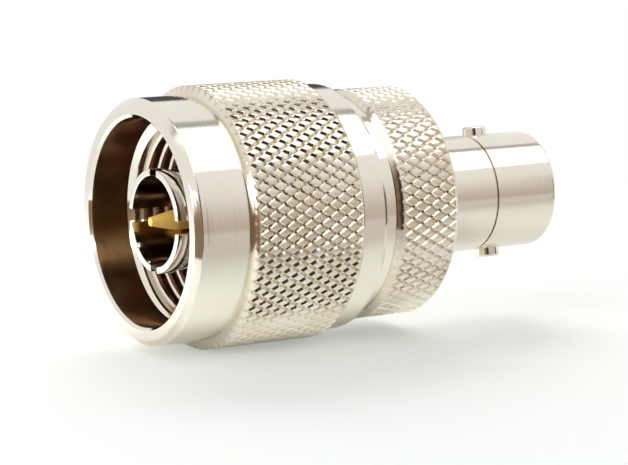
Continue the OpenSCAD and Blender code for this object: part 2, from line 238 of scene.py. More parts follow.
class Value:
    """A socket of a node tree, so that maths on it reads as Python."""

    __add__, __radd__ = maths("ADD"), maths("ADD", reflected=True)
    __sub__, __rsub__ = maths("SUBTRACT"), maths("SUBTRACT", reflected=True)
    __mul__, __rmul__ = maths("MULTIPLY"), maths("MULTIPLY", reflected=True)
    __truediv__, __rtruediv__ = maths("DIVIDE"), maths("DIVIDE", reflected=True)
    __pow__, __rpow__ = maths("POWER"), maths("POWER", reflected=True)

    def __init__(self, sheet, socket):
        self.sheet, self.socket = sheet, socket


class Sheet:
    """A node tree, the one method that adds a node to it, and short names for common nodes."""

    def __init__(self, tree):
        self.tree = tree
        tree.nodes.clear()

    def add(self, kind, settings=None, sockets=None, output=0):
        """Adds a node: its settings first, then the values or links of its sockets."""
        node = self.tree.nodes.new(kind)
        for name, value in (settings or {}).items():
            if name == "stops":
                ramp = node.color_ramp
                ramp.elements[0].position, ramp.elements[0].color = value[0]
                ramp.elements[-1].position, ramp.elements[-1].color = value[-1]
                for position, stop in value[1:-1]:
                    ramp.elements.new(position).color = stop
            else:
                setattr(node, name, value)
        for key, value in (sockets or {}).items():
            if isinstance(value, Value):
                self.tree.links.new(value.socket, node.inputs[key])
            else:
                node.inputs[key].default_value = value
        if output is None:
            return node
        if isinstance(output, tuple):
            return [Value(self, node.outputs[o]) for o in output]
        return Value(self, node.outputs[output])

    def noise(self, dimensions, place, scale, detail=2.0, roughness=0.5):
        """Noise from 0 to 1, along a number or over a place."""
        sockets = {"Scale": scale, "Detail": detail, "Roughness": roughness}
        sockets["W" if dimensions == "1D" else "Vector"] = place
        return self.add("ShaderNodeTexNoise", {"noise_dimensions": dimensions}, sockets)

    def between(self, value, low, high, start=0.0, end=1.0):
        """A smooth step from start to end as value goes from low to high."""
        return self.add(
            "ShaderNodeMapRange",
            {"interpolation_type": "SMOOTHSTEP", "clamp": True},
            {"Value": value, "From Min": low, "From Max": high, "To Min": start, "To Max": end},
        )

    def blend(self, factor, first, second):
        """A mix of two colours."""
        sockets = {0: factor, 6: opaque(first), 7: opaque(second)}
        return self.add("ShaderNodeMix", {"data_type": "RGBA"}, sockets, output=2)

    def mix(self, factor, first, second):
        """A mix of two shaders."""
        return self.add("ShaderNodeMixShader", sockets={0: factor, 1: first, 2: second})

    def glow(self, tint, strength=1.0):
        """Light of a colour."""
        return self.add("ShaderNodeEmission", sockets={"Color": opaque(tint), "Strength": strength})

    def attribute(self, name):
        """A number that the mesh's points carry."""
        return self.add("ShaderNodeAttribute", {"attribute_name": name}, output="Fac")

    def place(self):
        """The point in the object's own frame, and its three coordinates."""
        point = self.add("ShaderNodeTexCoord", output="Object")
        return point, self.add("ShaderNodeSeparateXYZ", sockets={0: point}, output=("X", "Y", "Z"))

    def rays(self):
        """Whether a ray comes from the camera, from a reflection or through a surface."""
        kinds = ("Is Camera Ray", "Is Glossy Ray", "Is Transmission Ray")
        return self.add("ShaderNodeLightPath", output=kinds)

    def show(self, shader, target="ShaderNodeOutputMaterial"):
        """Sends a shader to the output."""
        self.add(target, sockets={"Surface": shader}, output=None)

    def show_surface(self, height, depth, sockets):
        """Shows a surface with a fine relief, a height of 0 to 1 that stands for a depth."""
        bump = {"Strength": 1.0, "Distance": depth, "Height": height}
        normal = self.add("ShaderNodeBump", sockets=bump)
        self.show(self.add("ShaderNodeBsdfPrincipled", sockets={**sockets, "Normal": normal}))


def opaque(tint):
    """A colour as a colour socket takes it."""
    return tint if isinstance(tint, Value) else (*tint[:3], 1.0)


def scaled(tint, amount):
    """A colour made darker or lighter."""
    return tuple(min(1.0, c * amount) for c in tint)


def new_material(name):
    """A material with an empty node tree."""
    material = bpy.data.materials.new(name)
    material.use_nodes = True
    return material, Sheet(material.node_tree)


# ---- finishes

# Tool marks per millimetre along a turned piece, and the share of them on a flat face
COARSE_MARKS, FINE_MARKS, WAX_MARKS, FACE_MARKS = 5.5, 21.0, 7.0, 0.83
# Stains, specks, clouds, skin and dust per metre
STAINS, SPECKS, WAX_CLOUDS, RUBBER_SKIN, RUBBER_DUST = 260.0, 5200.0, 500.0, 3800.0, 420.0
# How dark the metal's stains and streaks are, and how far streaks and grooves show
STAIN_TINT, STREAK_TINT, STREAK_SHOW, GROOVE_SHOW = 0.86, 0.9, 0.22, 0.25
# What marks, stains, specks, grooves and bores add to the metal's roughness
MARK_ROUGH, STAIN_ROUGH, SPECK_ROUGH, GROOVE_ROUGH, BORE_ROUGH = 0.09, 0.12, 0.05, 0.1, 0.12
# Parts of the metal's fine relief
COARSE_HEIGHT, FINE_HEIGHT, SPECK_HEIGHT = 0.7, 0.3, 0.12


def turned_place(sheet):
    """Place on a turned piece: the point, and the number that grows along the tool marks."""
    point, (x, y, z) = sheet.place()
    radius = (y * y + z * z) ** 0.5
    return point, (x + radius * FACE_MARKS) / MM


def plated_metal(name, tints, polish, mark_depth, stain=0.24):
    """Turned and plated metal, with tool marks round the axis, stains, dull grooves and painted
    shade in its bores.

    tints are those of plain faces, knurled grips, grooves, and bores, where the tint is painted
    shade.
    """
    plain, grip_tint, groove_tint, bore_shade = tints
    material, sheet = new_material(name)
    point, mark_place = turned_place(sheet)
    coarse = sheet.noise("1D", mark_place, COARSE_MARKS, detail=3.0, roughness=0.65)
    fine = sheet.noise("1D", mark_place, FINE_MARKS, roughness=0.6)
    cloud = sheet.noise("3D", point, STAINS, detail=4.0, roughness=0.6)
    speck = sheet.noise("3D", point, SPECKS, roughness=0.6)
    bore, grip = sheet.attribute("bore"), sheet.attribute("grip")
    groove = sheet.between(sheet.attribute("relief"), 0.0, 0.55, 1.0, 0.0)
    base = sheet.blend(sheet.between(cloud, 0.45, 0.75) * stain, plain, scaled(plain, STAIN_TINT))
    streak = sheet.between(coarse, 0.35, 0.8) * STREAK_SHOW
    base = sheet.blend(streak, base, scaled(plain, STREAK_TINT))
    base = sheet.blend(grip * sheet.between(cloud, 0.3, 0.62), base, grip_tint)
    base = sheet.blend(groove * GROOVE_SHOW, base, groove_tint)
    roughness = (
        polish
        + (coarse - 0.5) * MARK_ROUGH
        + (cloud - 0.5) * STAIN_ROUGH
        + (speck - 0.5) * SPECK_ROUGH
        + groove * GROOVE_ROUGH
        + bore * BORE_ROUGH
    )
    # Where the mesh marks a bore, the colour blends to the bore's tint, which is painted shade.
    sheet.show_surface(
        coarse * COARSE_HEIGHT + fine * FINE_HEIGHT + (speck - 0.5) * SPECK_HEIGHT,
        mark_depth,
        {
            "Base Color": sheet.blend(bore, base, bore_shade),
            "Metallic": 1.0,
            "Roughness": sheet.between(roughness, 0.02, 0.9, 0.02, 0.9),
        },
    )
    return material


def waxy_plastic(name, tint):
    """White turned plastic: waxy, with faint tool marks and a cloudy body."""
    material, sheet = new_material(name)
    point, mark_place = turned_place(sheet)
    marks = sheet.noise("1D", mark_place, WAX_MARKS)
    cloud = sheet.noise("3D", point, WAX_CLOUDS, detail=3.0)
    base = sheet.blend(sheet.between(cloud, 0.35, 0.75) * 0.6, tint, scaled(tint, 0.93))
    sockets = {"Base Color": base, "Roughness": 0.38 + marks * 0.16, "Specular IOR Level": 0.4}
    sheet.show_surface(marks + cloud * 0.5, 0.004 * MM, sockets)
    return material


def moulded_rubber(name, tint):
    """Dull moulded rubber with a fine skin and some dust."""
    material, sheet = new_material(name)
    point, _ = sheet.place()
    skin = sheet.noise("3D", point, RUBBER_SKIN, detail=3.0, roughness=0.6)
    dust = sheet.noise("3D", point, RUBBER_DUST, detail=3.0)
    base = sheet.blend(sheet.between(dust, 0.4, 0.8) * 0.5, tint, scaled(tint, 1.5))
    sheet.show_surface(skin, 0.012 * MM, {"Base Color": base, "Roughness": 0.55 + skin * 0.25})
    return material


@functools.cache
def finish_of(slot):
    """The material for one of the record's slots, made on first use."""
    look = bpy.context.scene.adapter.finish
    bright, bronze, gold = look.bright, look.bronze, look.gold
    # The last of each set of tints is the bores' painted shade; the bronze's is its own colour.
    if slot == "nickel_brass":
        tints = (look.nickel, look.grip, look.tarnish, look.bore)
        return plated_metal("turned_nickel", tints, look.polish, mark_depth=0.006 * MM)
    if slot == "bright_contact":
        tints = (bright, bright, scaled(bright, 0.7), look.bore)
        return plated_metal("bright_plating", tints, polish=0.14, mark_depth=0.0007 * MM)
    if slot == "spring_bronze":
        tints = (bronze, bronze, scaled(bronze, 0.6), bronze)
        return plated_metal("drawn_bronze", tints, polish=0.28, mark_depth=0.0014 * MM, stain=0.48)
    if slot == "gold_contact":
        # Its last tint, half the gold, is painted shade in the socket's bore.
        tints = (gold, gold, scaled(gold, 0.6), scaled(gold, 0.5))
        return plated_metal("gold_plating", tints, polish=0.65, mark_depth=0.0004 * MM, stain=0.2)
    if slot == "white_plastic":
        return waxy_plastic("white_plastic", look.plastic)
    return moulded_rubber("seal_rubber", look.rubber)


# ---- turned shapes

TINY = 1e-9
SEED = 5
SHARP_ANGLE = math.radians(34.0)
BEVEL_ANGLE = math.radians(50.0)
# Rounding of a profile's corners: steps, usual reach, and the most of a side that it may take
ROUND_STEPS, EDGE_ROUND, ROUND_LIMIT = 6, 0.06 * MM, 0.45
# Knurl: steps across a tooth and along a chamfer, the height where a crest's slight dome begins,
# how far crests are worn, and where grooves begin, in lengths of the front chamfer
GROOVE_STEPS, CHAMFER_STEPS, DOME_START, CREST_WEAR, GROOVE_START = 5, 2, 0.9, 0.09, 0.9
# Thread: shares of a pitch with the depth there from 0 to 1, and the shares that get points
THREAD_FORM = ((0.0, 0), (0.25, 0), (0.545, 1), (0.705, 1), (1.0, 0))
THREAD_MARKS = (0.025, 0.125, 0.225, 0.275, 0.4, 0.52, 0.57, 0.625, 0.68, 0.73, 0.85, 0.975)
# Dullness and painted shade of the thread's relief and of its roots, and the depth where a root
# begins
RELIEF_DULL_SHADE, ROOT_DULL_SHADE, ROOT_START = 0.85, 0.7, 0.4
# How far outside a bore's radius its surface still counts as the bore
BORE_MARGIN = 0.01 * MM


def add_object(name, data):
    """A new object in the scene."""
    made = bpy.data.objects.new(name, data)
    bpy.context.scene.collection.objects.link(made)
    return made


def rounded(points):
    """A profile of (station, radius, rounding) points with its corners rounded."""
    made = [tuple(points[0][:2])]
    for before, here, after in zip(points, points[1:], points[2:]):
        corner = Vector(here[:2])
        to_before, to_after = Vector(before[:2]) - corner, Vector(after[:2]) - corner
        reach = here[2] if len(here) > 2 else EDGE_ROUND
        reach = min(reach, to_before.length * ROUND_LIMIT, to_after.length * ROUND_LIMIT)
        if reach < TINY:
            made.append(tuple(corner))
            continue
        start, end = (corner + side.normalized() * reach for side in (to_before, to_after))
        for step in range(ROUND_STEPS + 1):
            t = step / ROUND_STEPS
            made.append(tuple(start * (1 - t) ** 2 + corner * (2 * t * (1 - t)) + end * t * t))
    made.append(tuple(points[-1][:2]))
    return made


class Turning:
    """A mesh made of rings round the X axis, each joined to the one before it."""

    def __init__(self, segments=0):
        self.bm = bmesh.new()
        layers = self.bm.verts.layers.float
        self.layers = [layers.new(name) for name in ("relief", "bore", "grip")]
        self.bore = self.grip = 0.0
        self.segments = segments
        self.first = self.last = None

    def point(self, station, radius, turn, relief=1.0):
        """One vertex at a station, a radius and an angle round the axis."""
        vert = self.bm.verts.new((station, radius * math.cos(turn), radius * math.sin(turn)))
        for layer, value in zip(self.layers, (relief, self.bore, self.grip)):
            vert[layer] = value
        return vert

    def ring(self, station, radius):
        """A ring of vertices, or one vertex on the axis."""
        if radius < TINY:
            return [self.point(station, 0.0, 0.0)]
        turns = [math.tau * j / self.segments for j in range(self.segments)]
        return [self.point(station, radius, turn) for turn in turns]

    def face(self, *verts):
        """A face of the vertices that differ, if at least three do."""
        unique = list(dict.fromkeys(verts))
        if len(unique) > 2:
            self.bm.faces.new(unique)

    def join(self, ring):
        """Joins a ring to the last one, and makes it the last."""
        if self.last is None:
            self.first = ring
        else:
            for j in range(self.segments):
                a, b = self.last[j % len(self.last)], self.last[(j + 1) % len(self.last)]
                c, d = ring[(j + 1) % len(ring)], ring[j % len(ring)]
                self.face(a, b, c, d)
        self.last = ring

    def turn(self, profile, bore=0.0):
        """Adds the rings of a profile, dull and with the bores' painted shade by the share bore."""
        self.bore = bore
        for station, radius in rounded(profile):
            self.join(self.ring(station, radius))

    def close(self):
        """Joins the last ring to the first."""
        self.join(self.first)

    def knurl(self, piece, feet, runs, look):
        """Adds a piece's band of diamonds between two chamfers.

        feet are the radii where the chamfers start and runs their lengths. Grooves run along whole
        numbers of a and of b, the two skew coordinates of the band.
        """
        start, end, teeth = piece.knurl_start, piece.knurl_end, piece.teeth
        crest, depth, slope = piece.crest_radius, look.knurl_depth, 0.5 - look.crest_share / 2
        first, last = start + runs[0], end - runs[1]
        steps, around = piece.rows * GROOVE_STEPS, 2 * self.segments
        low, high = -CHAMFER_STEPS, steps + CHAMFER_STEPS
        shrink, draw = {}, random.Random(SEED)

        def station(row):
            if row < 0:
                return first + row * runs[0] / CHAMFER_STEPS
            if row > steps:
                return last + (row - steps) * runs[1] / CHAMFER_STEPS
            return first + (last - first) * row / steps

        def limit(x):
            front = feet[0] + (crest - feet[0]) * (x - start) / runs[0]
            rear = feet[1] + (crest - feet[1]) * (end - x) / runs[1]
            return min(front, rear, crest)

        def rise(t):
            offset = t % 1.0
            offset = min(offset, 1.0 - offset)
            dome = DOME_START + (1.0 - DOME_START) * (offset - slope) / (0.5 - slope)
            return min(DOME_START * offset / slope, dome)

        lattice, self.grip = {}, 1.0
        for row in range(low, high + 1):
            x = station(row)
            grown = min(1.0, max(0.0, (x - start) / runs[0] - GROOVE_START))
            for column in range(row % 2, around, 2):
                a, b = (column + row) / (2 * GROOVE_STEPS), (column - row) / (2 * GROOVE_STEPS)
                tooth = (math.floor(a) - math.floor(b), math.floor(b) % teeth)
                if tooth not in shrink:
                    shrink[tooth] = draw.uniform(0.0, CREST_WEAR)
                relief = min(rise(a), rise(b)) * (1.0 - shrink[tooth])
                radius = min(crest - depth * grown * (1.0 - relief), limit(x))
                lattice[column, row] = self.point(x, radius, math.tau * column / around, relief)

        self.join([lattice[column, low] for column in range(0, around, 2)])
        for row in range(low, high + 1):
            for column in range((row + 1) % 2, around, 2):
                left, right = ((column - 1) % around, row), ((column + 1) % around, row)
                corners = (left, (column, row - 1), right, (column, row + 1))
                self.face(*[lattice[corner] for corner in corners if corner in lattice])
        self.last = [lattice[column, high] for column in range(0, around, 2)]
        self.grip = 0.0

    def thread(self, nut, stations, bounds):
        """Adds the nut's inner right-hand thread, met from its end.

        stations are where the front cone starts and reaches the crests, and where the rear cone
        leaves them and ends. bounds are the radii of the plain rings at the start and the end.
        """
        start, lead_end, run_out, end = stations
        minor, major, pitch = nut.thread_minor, nut.thread_major, nut.thread_pitch
        root, marks = minor + (major - minor) * ROOT_START, len(THREAD_MARKS)
        # The plain ring behind the thread gets dullness and painted shade.
        self.bore = RELIEF_DULL_SHADE
        closing = self.ring(end, bounds[1])
        self.bore = 0.0
        opening = self.ring(start, bounds[0])
        cells = {}

        def form(s):
            for (s0, deep0), (s1, deep1) in zip(THREAD_FORM, THREAD_FORM[1:]):
                if s <= s1:
                    deep = deep0 + (deep1 - deep0) * (s - s0) / (s1 - s0)
                    return minor + (major - minor) * deep

        def vertex(i, j):
            if j == self.segments:
                return vertex(i + marks, 0)
            turn, mark = divmod(i, marks)
            x = start + pitch * (turn - 1 + THREAD_MARKS[mark] + j / self.segments)
            if x <= start:
                return opening[j]
            if x >= end:
                return closing[j]
            if (i, j) not in cells:
                front = bounds[0] + (minor - bounds[0]) * (x - start) / (lead_end - start)
                rear = bounds[1] + (minor - bounds[1]) * (end - x) / (end - run_out)
                radius = max(form(THREAD_MARKS[mark]), front, rear)
                # Deep roots get dullness and painted shade.
                self.bore = ROOT_DULL_SHADE * (radius > root) * (radius > front)
                cells[i, j] = self.point(x, radius, math.tau * j / self.segments)
            return cells[i, j]

        self.join(closing)
        for i in range(-1, marks * (math.ceil((end - start) / pitch) + 1)):
            for j in range(self.segments):
                self.face(vertex(i, j), vertex(i, j + 1), vertex(i + 1, j + 1), vertex(i + 1, j))
        self.last = opening

    def slotted(self, profile, slots, half_width, slot_end, columns, bore_radius):
        """A closed profile, turned, with slots that run in from its front to a station."""
        rings, pitch = [], math.tau / slots
        for station, radius in profile:
            # Faces on the inner radius get the bores' dullness and painted shade.
            self.bore = float(radius < bore_radius + BORE_MARGIN)
            gap = math.asin(half_width / radius)
            across = [gap + (pitch - 2 * gap) * k / columns for k in range(columns + 1)]
            turns = [s * pitch + t for s in range(slots) for t in across]
            rings.append([self.point(station, radius, turn) for turn in turns])
        width = slots * (columns + 1)
        cut = [station <= slot_end + TINY for station, _ in profile]
        for i in range(len(profile)):
            n = (i + 1) % len(profile)
            for j in range(width):
                m = (j + 1) % width
                if (j + 1) % (columns + 1) == 0 and cut[i] and cut[n]:
                    continue
                self.face(rings[i][j], rings[i][m], rings[n][m], rings[n][j])
        begin = next(i for i in range(len(profile)) if cut[i] and not cut[i - 1])
        order = [rings[(begin + k) % len(profile)] for k in range(sum(cut))]
        for s in range(slots):
            side, other = s * (columns + 1) + columns, ((s + 1) % slots) * (columns + 1)
            for j in (side, other):
                self.face(*[ring[j] for ring in order])
            self.face(order[0][side], order[0][other], order[-1][other], order[-1][side])

    def finish(self, name, slot, body, node, place=None, bevel=0.0):
        """Makes the mesh an object that rides on a body and stands for a CAD node."""
        bmesh.ops.recalc_face_normals(self.bm, faces=self.bm.faces)
        if any(not edge.is_manifold for edge in self.bm.edges):
            raise RuntimeError(f"{name} is not a closed solid")
        if place is not None:
            self.bm.transform(place)
        mesh = bpy.data.meshes.new(name)
        self.bm.to_mesh(mesh)
        self.bm.free()
        mesh.shade_smooth()
        mesh.set_sharp_from_angle(angle=SHARP_ANGLE)
        mesh.materials.append(finish_of(slot))
        piece = add_object(name, mesh)
        if bevel:
            edges = piece.modifiers.new("broken_edges", "BEVEL")
            edges.width, edges.segments = bevel, 2
            edges.limit_method, edges.angle_limit = "ANGLE", BEVEL_ANGLE
        weighted = piece.modifiers.new("even_normals", "WEIGHTED_NORMAL")
        weighted.keep_sharp = True
        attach(piece, body)
        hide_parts(node)


def turned_piece(name, slot, node, segments, profile, place=None):
    """A plain turned piece of the body, closed at the axis or on itself."""
    shape = Turning(segments)
    shape.turn(profile)
    shape.close()
    shape.finish(name, slot, "body", node, place)


def dress(node, slot):
    """Gives a CAD node that stays its finish."""
    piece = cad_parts[node]
    if not piece.material_slots:
        piece.data.materials.append(None)
    for place in piece.material_slots:
        place.material = finish_of(slot)


# ---- pieces

SHOULDER, EDGE_BREAK = mm(0.07, 0.12)
BEARING_RADIUS, SPIGOT_RADIUS, LINE_RADIUS = mm(7.0, 5.6, 3.5)
RELIEF_RADIUS, RELIEF_START, COLLAR_LENGTH = mm(8.05, 9.6, 0.8)
SLOTS = 4
# Distances from a profile's last ring to the ring that it meets
SEAM, FINE_SEAM = mm(0.05, 0.04)
# Slight bevel of a rear edge: fall for its length, then length, rise and rounding of its lip
BEVEL_FALL, LIP_LENGTH, LIP_RISE, LIP_ROUND = 0.3, 0.06 * MM, 0.02 * MM, 0.03 * MM


def slight_bevel(end, radius, run, lip):
    """Profile of a rear edge with a slight bevel and a rounded lip."""
    foot = radius - BEVEL_FALL * run
    return [(end - run, radius), (end - LIP_LENGTH, foot + LIP_RISE, LIP_ROUND), (end, foot - lip)]


class ADAPTER_OT_coupling_nut(bpy.types.Operator):
    """Coupling nut with its diamond knurl and its inner thread"""

    bl_idname = "adapter.coupling_nut"
    bl_label = "Coupling Nut"

    def execute(self, context):
        nut, look = context.scene.adapter.nut, context.scene.adapter.finish
        front, rear, mouth = nut.front_radius, nut.rear_radius, nut.mouth_radius
        lead, mouth_chamfer, lip, relief_round = mm(0.6, 0.22, 0.1, 0.2)
        groove_radius, ring_play = mm(7.6, 0.1)
        groove_front, groove_back = RING_LOW.x - ring_play, RING_HIGH.x + ring_play
        back, bearing_start = NUT_HIGH.x, BODY_LOW.x
        run_out_end = RELIEF_START + (RELIEF_RADIUS - nut.thread_minor) / 2
        shape = Turning(nut.teeth * GROOVE_STEPS)
        shape.turn([
            (0.0, mouth + mouth_chamfer), (0.0, front - nut.rim_chamfer),
            (nut.rim_chamfer, front), (nut.knurl_start, front),
        ])
        shape.knurl(nut, (front + SHOULDER, rear + SHOULDER), (nut.front_run, nut.rear_run), look)
        shape.turn([
            (nut.knurl_end, rear), *slight_bevel(back, rear, nut.rear_bevel, lip),
            (back, BEARING_RADIUS + EDGE_BREAK),
        ])
        bearing_and_relief = [
            (back - EDGE_BREAK, BEARING_RADIUS), (groove_back, BEARING_RADIUS),
            (groove_back, groove_radius), (groove_front, groove_radius),
            (groove_front, BEARING_RADIUS), (bearing_start, BEARING_RADIUS),
            (bearing_start - EDGE_BREAK, BEARING_RADIUS + EDGE_BREAK),
            (bearing_start - EDGE_BREAK, RELIEF_RADIUS, relief_round),
            (run_out_end + SEAM, RELIEF_RADIUS),
        ]
        # The bearing and the relief behind the thread get dullness and painted shade.
        shape.turn(bearing_and_relief, bore=RELIEF_DULL_SHADE)
        stations = (nut.mouth_depth, nut.mouth_depth + lead, RELIEF_START, run_out_end)
        shape.thread(nut, stations, (mouth, RELIEF_RADIUS))
        wall = [(nut.mouth_depth - FINE_SEAM, mouth), (mouth_chamfer + SEAM, mouth)]
        # The mouth's wall gets the full painted shade of the bores.
        shape.turn(wall, bore=1.0)
        shape.turn([(mouth_chamfer, mouth), (FINE_SEAM, mouth + mouth_chamfer - FINE_SEAM)])
        shape.close()
        shape.finish("nut_knurled_threaded", "nickel_brass", "nut", "coupling_nut")
        return {"FINISHED"}


class ADAPTER_OT_jack_body(bpy.types.Operator):
    """Rear body: flange, knurled grip and the jack's barrel"""

    bl_idname = "adapter.jack_body"
    bl_label = "Jack Body"

    def execute(self, context):
        jack, look = context.scene.adapter.jack, context.scene.adapter.finish
        front, end, barrel, run = JACK_LOW.x, JACK_HIGH.x, jack.barrel_radius, jack.knurl_run
        foot = min(jack.flange_radius + SHOULDER, jack.crest_radius - look.knurl_depth - SHOULDER)
        line, line_half, line_depth = end - jack.line_setback, 0.1 * MM, 0.1 * MM
        line_floor, floor_half = barrel - line_depth, 0.8 * line_half
        edge, lip, mouth_chamfer = mm(0.24, 0.08, 0.25)
        root_round, cavity_round = mm(0.18, 0.2)
        cavity = end - jack.bore_depth
        web, web_hole = cavity - 1.17 * MM, 2.46 * MM
        step = BEAD_HIGH.x
        shape = Turning(jack.teeth * GROOVE_STEPS)
        shape.turn([
            (front, SPIGOT_RADIUS), (front, jack.flange_radius - EDGE_BREAK),
            (front + EDGE_BREAK, jack.flange_radius), (jack.knurl_start, jack.flange_radius),
        ])
        shape.knurl(jack, (foot, foot), (run, run), look)
        shape.turn([
            (jack.knurl_end, foot - SEAM), (jack.knurl_end, barrel, root_round),
            (line - line_half, barrel),
        ])
        groove = [(line - floor_half, line_floor), (line + floor_half, line_floor)]
        # The turned line's floor gets dullness and painted shade.
        shape.turn(groove, bore=ROOT_DULL_SHADE)
        shape.turn([
            (line + line_half, barrel), *slight_bevel(end, barrel, edge, lip),
            (end, jack.bore_radius + mouth_chamfer), (end - mouth_chamfer, jack.bore_radius),
            (cavity, jack.bore_radius, cavity_round), (cavity, web_hole), (web, web_hole),
            (web, LINE_RADIUS), (step, LINE_RADIUS), (step, SPIGOT_RADIUS),
            (front + SEAM, SPIGOT_RADIUS),
        ])
        shape.close()
        shape.finish("jack_body_knurled", "nickel_brass", "body", "rear_body")
        return {"FINISHED"}


class ADAPTER_OT_bayonet_lugs(bpy.types.Operator):
    """The two lugs of the jack's barrel"""

    bl_idname = "adapter.bayonet_lugs"
    bl_label = "Bayonet Lugs"

    def execute(self, context):
        radius, top, inner, turned = 0.98 * MM, 5.5 * MM, 4.21 * MM, math.radians(12.0)
        edge_round, hollow_radius, hollow_depth = mm(0.07, 0.3, 0.02)
        profile = [
            (inner, 0.0), (inner, radius), (top - EDGE_BREAK, radius, edge_round),
            (top, radius - EDGE_BREAK, edge_round), (top, hollow_radius),
            (top - hollow_depth, 0.0),
        ]
        station = Matrix.Translation(((LUG_LOW.x + LUG_HIGH.x) / 2, 0.0, 0.0))
        along = Vector((1.0, 0.0, 0.0))
        for side, node in ((0.0, "bayonet_lug_upper"), (math.pi, "bayonet_lug_lower")):
            lean = side - turned
            outward = Vector((0.0, -math.sin(lean), math.cos(lean)))
            facing = Matrix((outward, along, outward.cross(along))).transposed().to_4x4()
            turned_piece(f"{node}_pin", "nickel_brass", node, 72, profile, station @ facing)
        return {"FINISHED"}


class ADAPTER_OT_outer_contact(bpy.types.Operator):
    """Slotted ring of the plug, the sprung outer contact"""

    bl_idname = "adapter.outer_contact"
    bl_label = "Outer Contact"

    def execute(self, context):
        front, body, back = CONTACT_LOW.x, BODY_LOW.x, CONTACT_HIGH.x
        lip, finger, root = 4.11 * MM, 3.94 * MM, CONTACT_HIGH.z
        lip_end, slot_end = front + 1.1 * MM, front + 6.0 * MM
        lead, flare, lip_slant, lip_run = mm(0.6, 0.07, 0.02, 0.34)
        behind_slot = slot_end + 0.1 * MM
        fingers = [
            (slot_end, LINE_RADIUS), (front + lead, LINE_RADIUS),
            (front, LINE_RADIUS + flare, 0.05 * MM), (front, lip - lip_slant, 0.07 * MM),
            (lip_end, lip, 0.3 * MM), (lip_end + lip_run, finger, 0.2 * MM), (slot_end, finger),
        ]
        base = [
            (behind_slot, finger), (body, finger), (body, root), (back, root, EDGE_BREAK),
            (back, LINE_RADIUS), (behind_slot, LINE_RADIUS),
        ]
        shape = Turning()
        profile = rounded(fingers) + rounded(base)
        shape.slotted(profile, SLOTS, 0.5 * MM, slot_end, columns=40, bore_radius=LINE_RADIUS)
        shape.finish(
            "plug_outer_contact", "bright_contact", "body", "n_outer_contact", bevel=0.035 * MM
        )
        return {"FINISHED"}


class ADAPTER_OT_centre_contacts(bpy.types.Operator):
    """Gold pin of the plug and gold socket of the jack"""

    bl_idname = "adapter.centre_contacts"
    bl_label = "Centre Contacts"

    def execute(self, context):
        tip, tail, bead, step = PIN_LOW.x, PIN_HIGH.x, BEAD_LOW.x, BEAD_HIGH.x
        shoulder, taper_end = 6.66 * MM, tip + 2.2 * MM
        tip_radius, pin_radius, base_radius = mm(0.35, 0.81, 1.52)
        stem_radius, tail_radius = mm(1.165, 0.5)
        pin = [
            (tip, 0.0), (tip, tip_radius, 0.03 * MM), (taper_end, pin_radius, EDGE_BREAK),
            (shoulder, pin_radius), (shoulder, base_radius - EDGE_BREAK),
            (shoulder + EDGE_BREAK, base_radius), (bead, base_radius), (bead, stem_radius),
            (step, stem_radius), (step, tail_radius), (tail, tail_radius), (tail, 0.0),
        ]
        turned_piece("plug_centre_pin", "gold_contact", "centre_pin", 96, pin)
        front, collar_end = SOCKET_HIGH.x, SOCKET_LOW.x + COLLAR_LENGTH
        outer, bore, drill, collar = 1.05 * MM, 0.69 * MM, 0.4 * MM, SOCKET_HIGH.z
        slot_start, bore_end = front - 4.0 * MM, front - 5.0 * MM
        behind_slot, drill_start = slot_start - SEAM, tail + 0.02 * MM
        fingers = [
            (slot_start, bore), (front - EDGE_BREAK, bore), (front, bore + EDGE_BREAK),
            (front, outer - EDGE_BREAK), (front - EDGE_BREAK, outer), (slot_start, outer),
        ]
        base = [
            (behind_slot, outer), (collar_end, outer), (collar_end, collar), (step, collar),
            (step, tail_radius), (tail, tail_radius), (drill_start, drill),
            (bore_end - bore / 2, drill), (bore_end, bore), (behind_slot, bore),
        ]
        # The slots open towards +X, so the profile is built facing -X and turned round
        shape = Turning()
        profile = [(-x, radius) for x, radius in rounded(fingers) + rounded(base)]
        shape.slotted(profile, SLOTS, 0.15 * MM, -slot_start, columns=14, bore_radius=bore)
        facing = Matrix.Rotation(math.pi, 4, "Z")
        shape.finish(
            "jack_centre_socket", "gold_contact", "body", "centre_socket", facing, bevel=0.02 * MM
        )
        return {"FINISHED"}


class ADAPTER_OT_insulators(bpy.types.Operator):
    """White bead of the plug and white sleeve of the jack"""

    bl_idname = "adapter.insulators"
    bl_label = "Insulators"

    def execute(self, context):
        step, nose, web = SLEEVE_LOW.x, SLEEVE_HIGH.x, JACK_HIGH.x - 9.57 * MM
        nose_radius, collar_hole, socket_hole = mm(2.42, 1.64, 1.09)
        collar_end, nose_round, mouth_chamfer = step + COLLAR_LENGTH, 0.2 * MM, 0.25 * MM
        sleeve = [
            (step, collar_hole), (step, LINE_RADIUS), (web, LINE_RADIUS), (web, nose_radius),
            (nose, nose_radius, nose_round), (nose, socket_hole + mouth_chamfer),
            (SOCKET_HIGH.x, socket_hole), (collar_end, socket_hole), (collar_end, collar_hole),
            (step + SEAM, collar_hole),
        ]
        turned_piece("jack_white_sleeve", "white_plastic", "bnc_insulator", 128, sleeve)
        front, back, bead_radius, stem_hole = BEAD_LOW.x, BEAD_HIGH.x, BEAD_HIGH.z, 1.205 * MM
        bead = [
            (front, stem_hole), (front, bead_radius), (back, bead_radius), (back, stem_hole),
            (front + SEAM, stem_hole),
        ]
        turned_piece("plug_white_bead", "white_plastic", "n_insulator", 128, bead)
        return {"FINISHED"}


